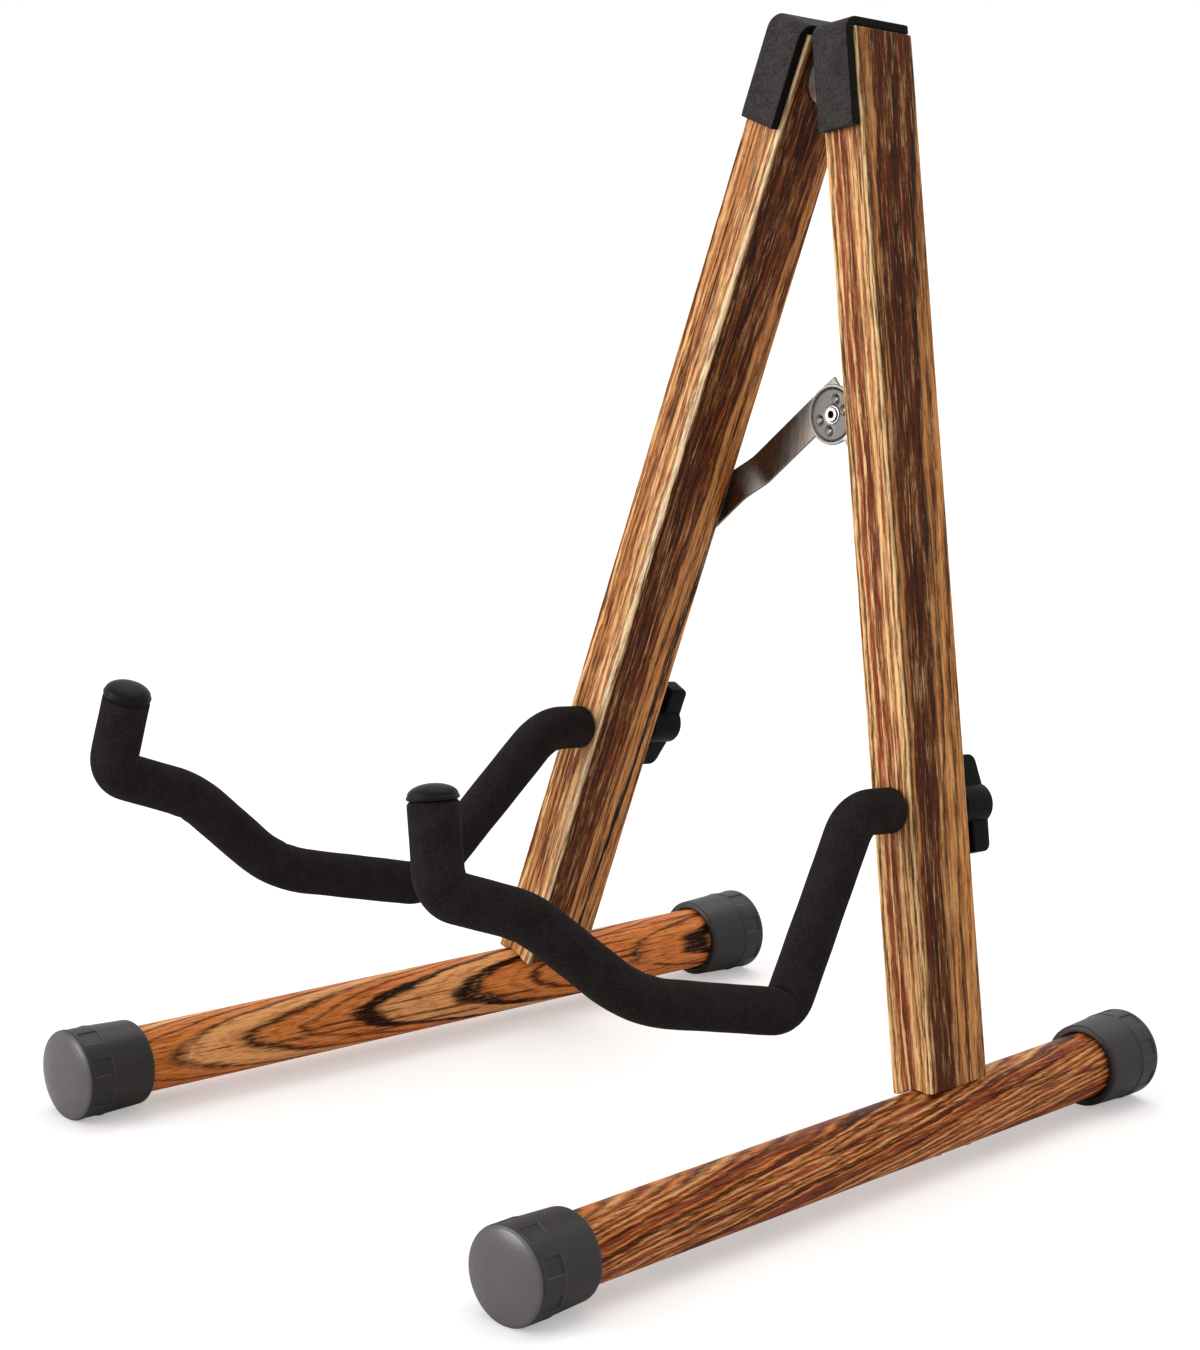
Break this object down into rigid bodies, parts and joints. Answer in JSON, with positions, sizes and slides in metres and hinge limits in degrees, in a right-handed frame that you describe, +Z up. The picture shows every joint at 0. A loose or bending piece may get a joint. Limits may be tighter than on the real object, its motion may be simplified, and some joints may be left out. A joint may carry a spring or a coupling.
{
  "type": "guitar stand",
  "caption": "Folding wooden A-frame floor stand for a guitar, with foam-sleeved cradle arms, wing knobs, rubber-capped rails and a hinged stay.",
  "frame": {"origin": "on the floor, under the middle of the stand", "axes": "+Z up, -Y toward the front, where the cradle arms point, +X toward the stand's left as it faces a person in front of it"},
  "size_m": [0.3034, 0.3966, 0.4559],
  "materials": {
    "wood": "striped hardwood look, satin lacquer",
    "cap_rubber": "smooth satin",
    "pad_rubber": "fine grained, matte",
    "foam": "closed-cell foam, matte",
    "steel": "brushed, satin",
    "moulded_plastic": "moulded, satin",
    "brass": "machined"
  },
  "bodies": {
    "right_side": {"right_leg": "wood", "right_rail": "wood", "right_front_cap": "cap_rubber", "right_rear_cap": "cap_rubber", "right_front_rail_bolt": "steel", "right_rear_rail_bolt": "steel", "right_top_pad": "pad_rubber", "right_hinge_leaf": "steel", "right_hinge_screw_1": "steel", "right_hinge_screw_2": "steel", "right_hinge_screw_3": "steel", "right_stay_screw": "steel", "hinge_pin": "steel"},
    "left_side": {"left_leg": "wood", "left_rail": "wood", "left_front_cap": "cap_rubber", "left_rear_cap": "cap_rubber", "left_front_rail_bolt": "steel", "left_rear_rail_bolt": "steel", "left_top_pad": "pad_rubber", "left_hinge_leaf": "steel", "left_hinge_screw_1": "steel", "left_hinge_screw_2": "steel", "left_hinge_screw_3": "steel", "left_stay_screw": "steel"},
    "right_stay": {"right_stay_arm": "steel", "stay_rivet": "steel", "stay_washer": "steel"},
    "left_stay": {"left_stay_arm": "steel"},
    "right_arm": {"right_arm_rod": "steel", "right_arm_foam": "foam", "right_arm_tip": "moulded_plastic", "right_knob_washer": "steel"},
    "right_knob": {"right_wing_knob": "moulded_plastic", "right_knob_insert": "brass"},
    "left_arm": {"left_arm_rod": "steel", "left_arm_foam": "foam", "left_arm_tip": "moulded_plastic", "left_knob_washer": "steel"},
    "left_knob": {"left_wing_knob": "moulded_plastic", "left_knob_insert": "brass"}
  },
  "joints": [
    {"name": "fold", "type": "hinge", "parent": "right_side", "child": "left_side", "pos_m": [0, 0.10645, 0.44259], "axis": [0, -0.9957, 0.0928], "range_deg": [0, 25.5]},
    {"name": "right_stay_turn", "type": "hinge", "parent": "right_side", "child": "right_stay", "pos_m": [0.06647, 0.08721, 0.23604], "axis": [0, 0.9957, -0.0928], "range_deg": [0, 26]},
    {"name": "left_stay_turn", "type": "hinge", "parent": "left_side", "child": "left_stay", "pos_m": [-0.06647, 0.08721, 0.23604], "axis": [0, -0.9957, 0.0928], "range_deg": [0, 26]},
    {"name": "right_arm_swing", "type": "hinge", "parent": "right_side", "child": "right_arm", "pos_m": [0.091, 0.07826, 0.14002], "axis": [0, -0.9957, 0.0928], "range_deg": [-5, 180]},
    {"name": "left_arm_swing", "type": "hinge", "parent": "left_side", "child": "left_arm", "pos_m": [-0.091, 0.07826, 0.14002], "axis": [0, 0.9957, -0.0928], "range_deg": [-5, 180]},
    {"name": "right_knob_turn", "type": "hinge", "parent": "right_arm", "child": "right_knob", "pos_m": [0.091, 0.07826, 0.14002], "axis": [0, 0.9957, -0.0928], "continuous": true},
    {"name": "left_knob_turn", "type": "hinge", "parent": "left_arm", "child": "left_knob", "pos_m": [-0.091, 0.07826, 0.14002], "axis": [0, 0.9957, -0.0928], "continuous": true}
  ],
  "couplings": [
    {"joint": "right_stay_turn", "follows": "fold", "ratio": 1.01},
    {"joint": "left_stay_turn", "follows": "fold", "ratio": 1.01}
  ]
}
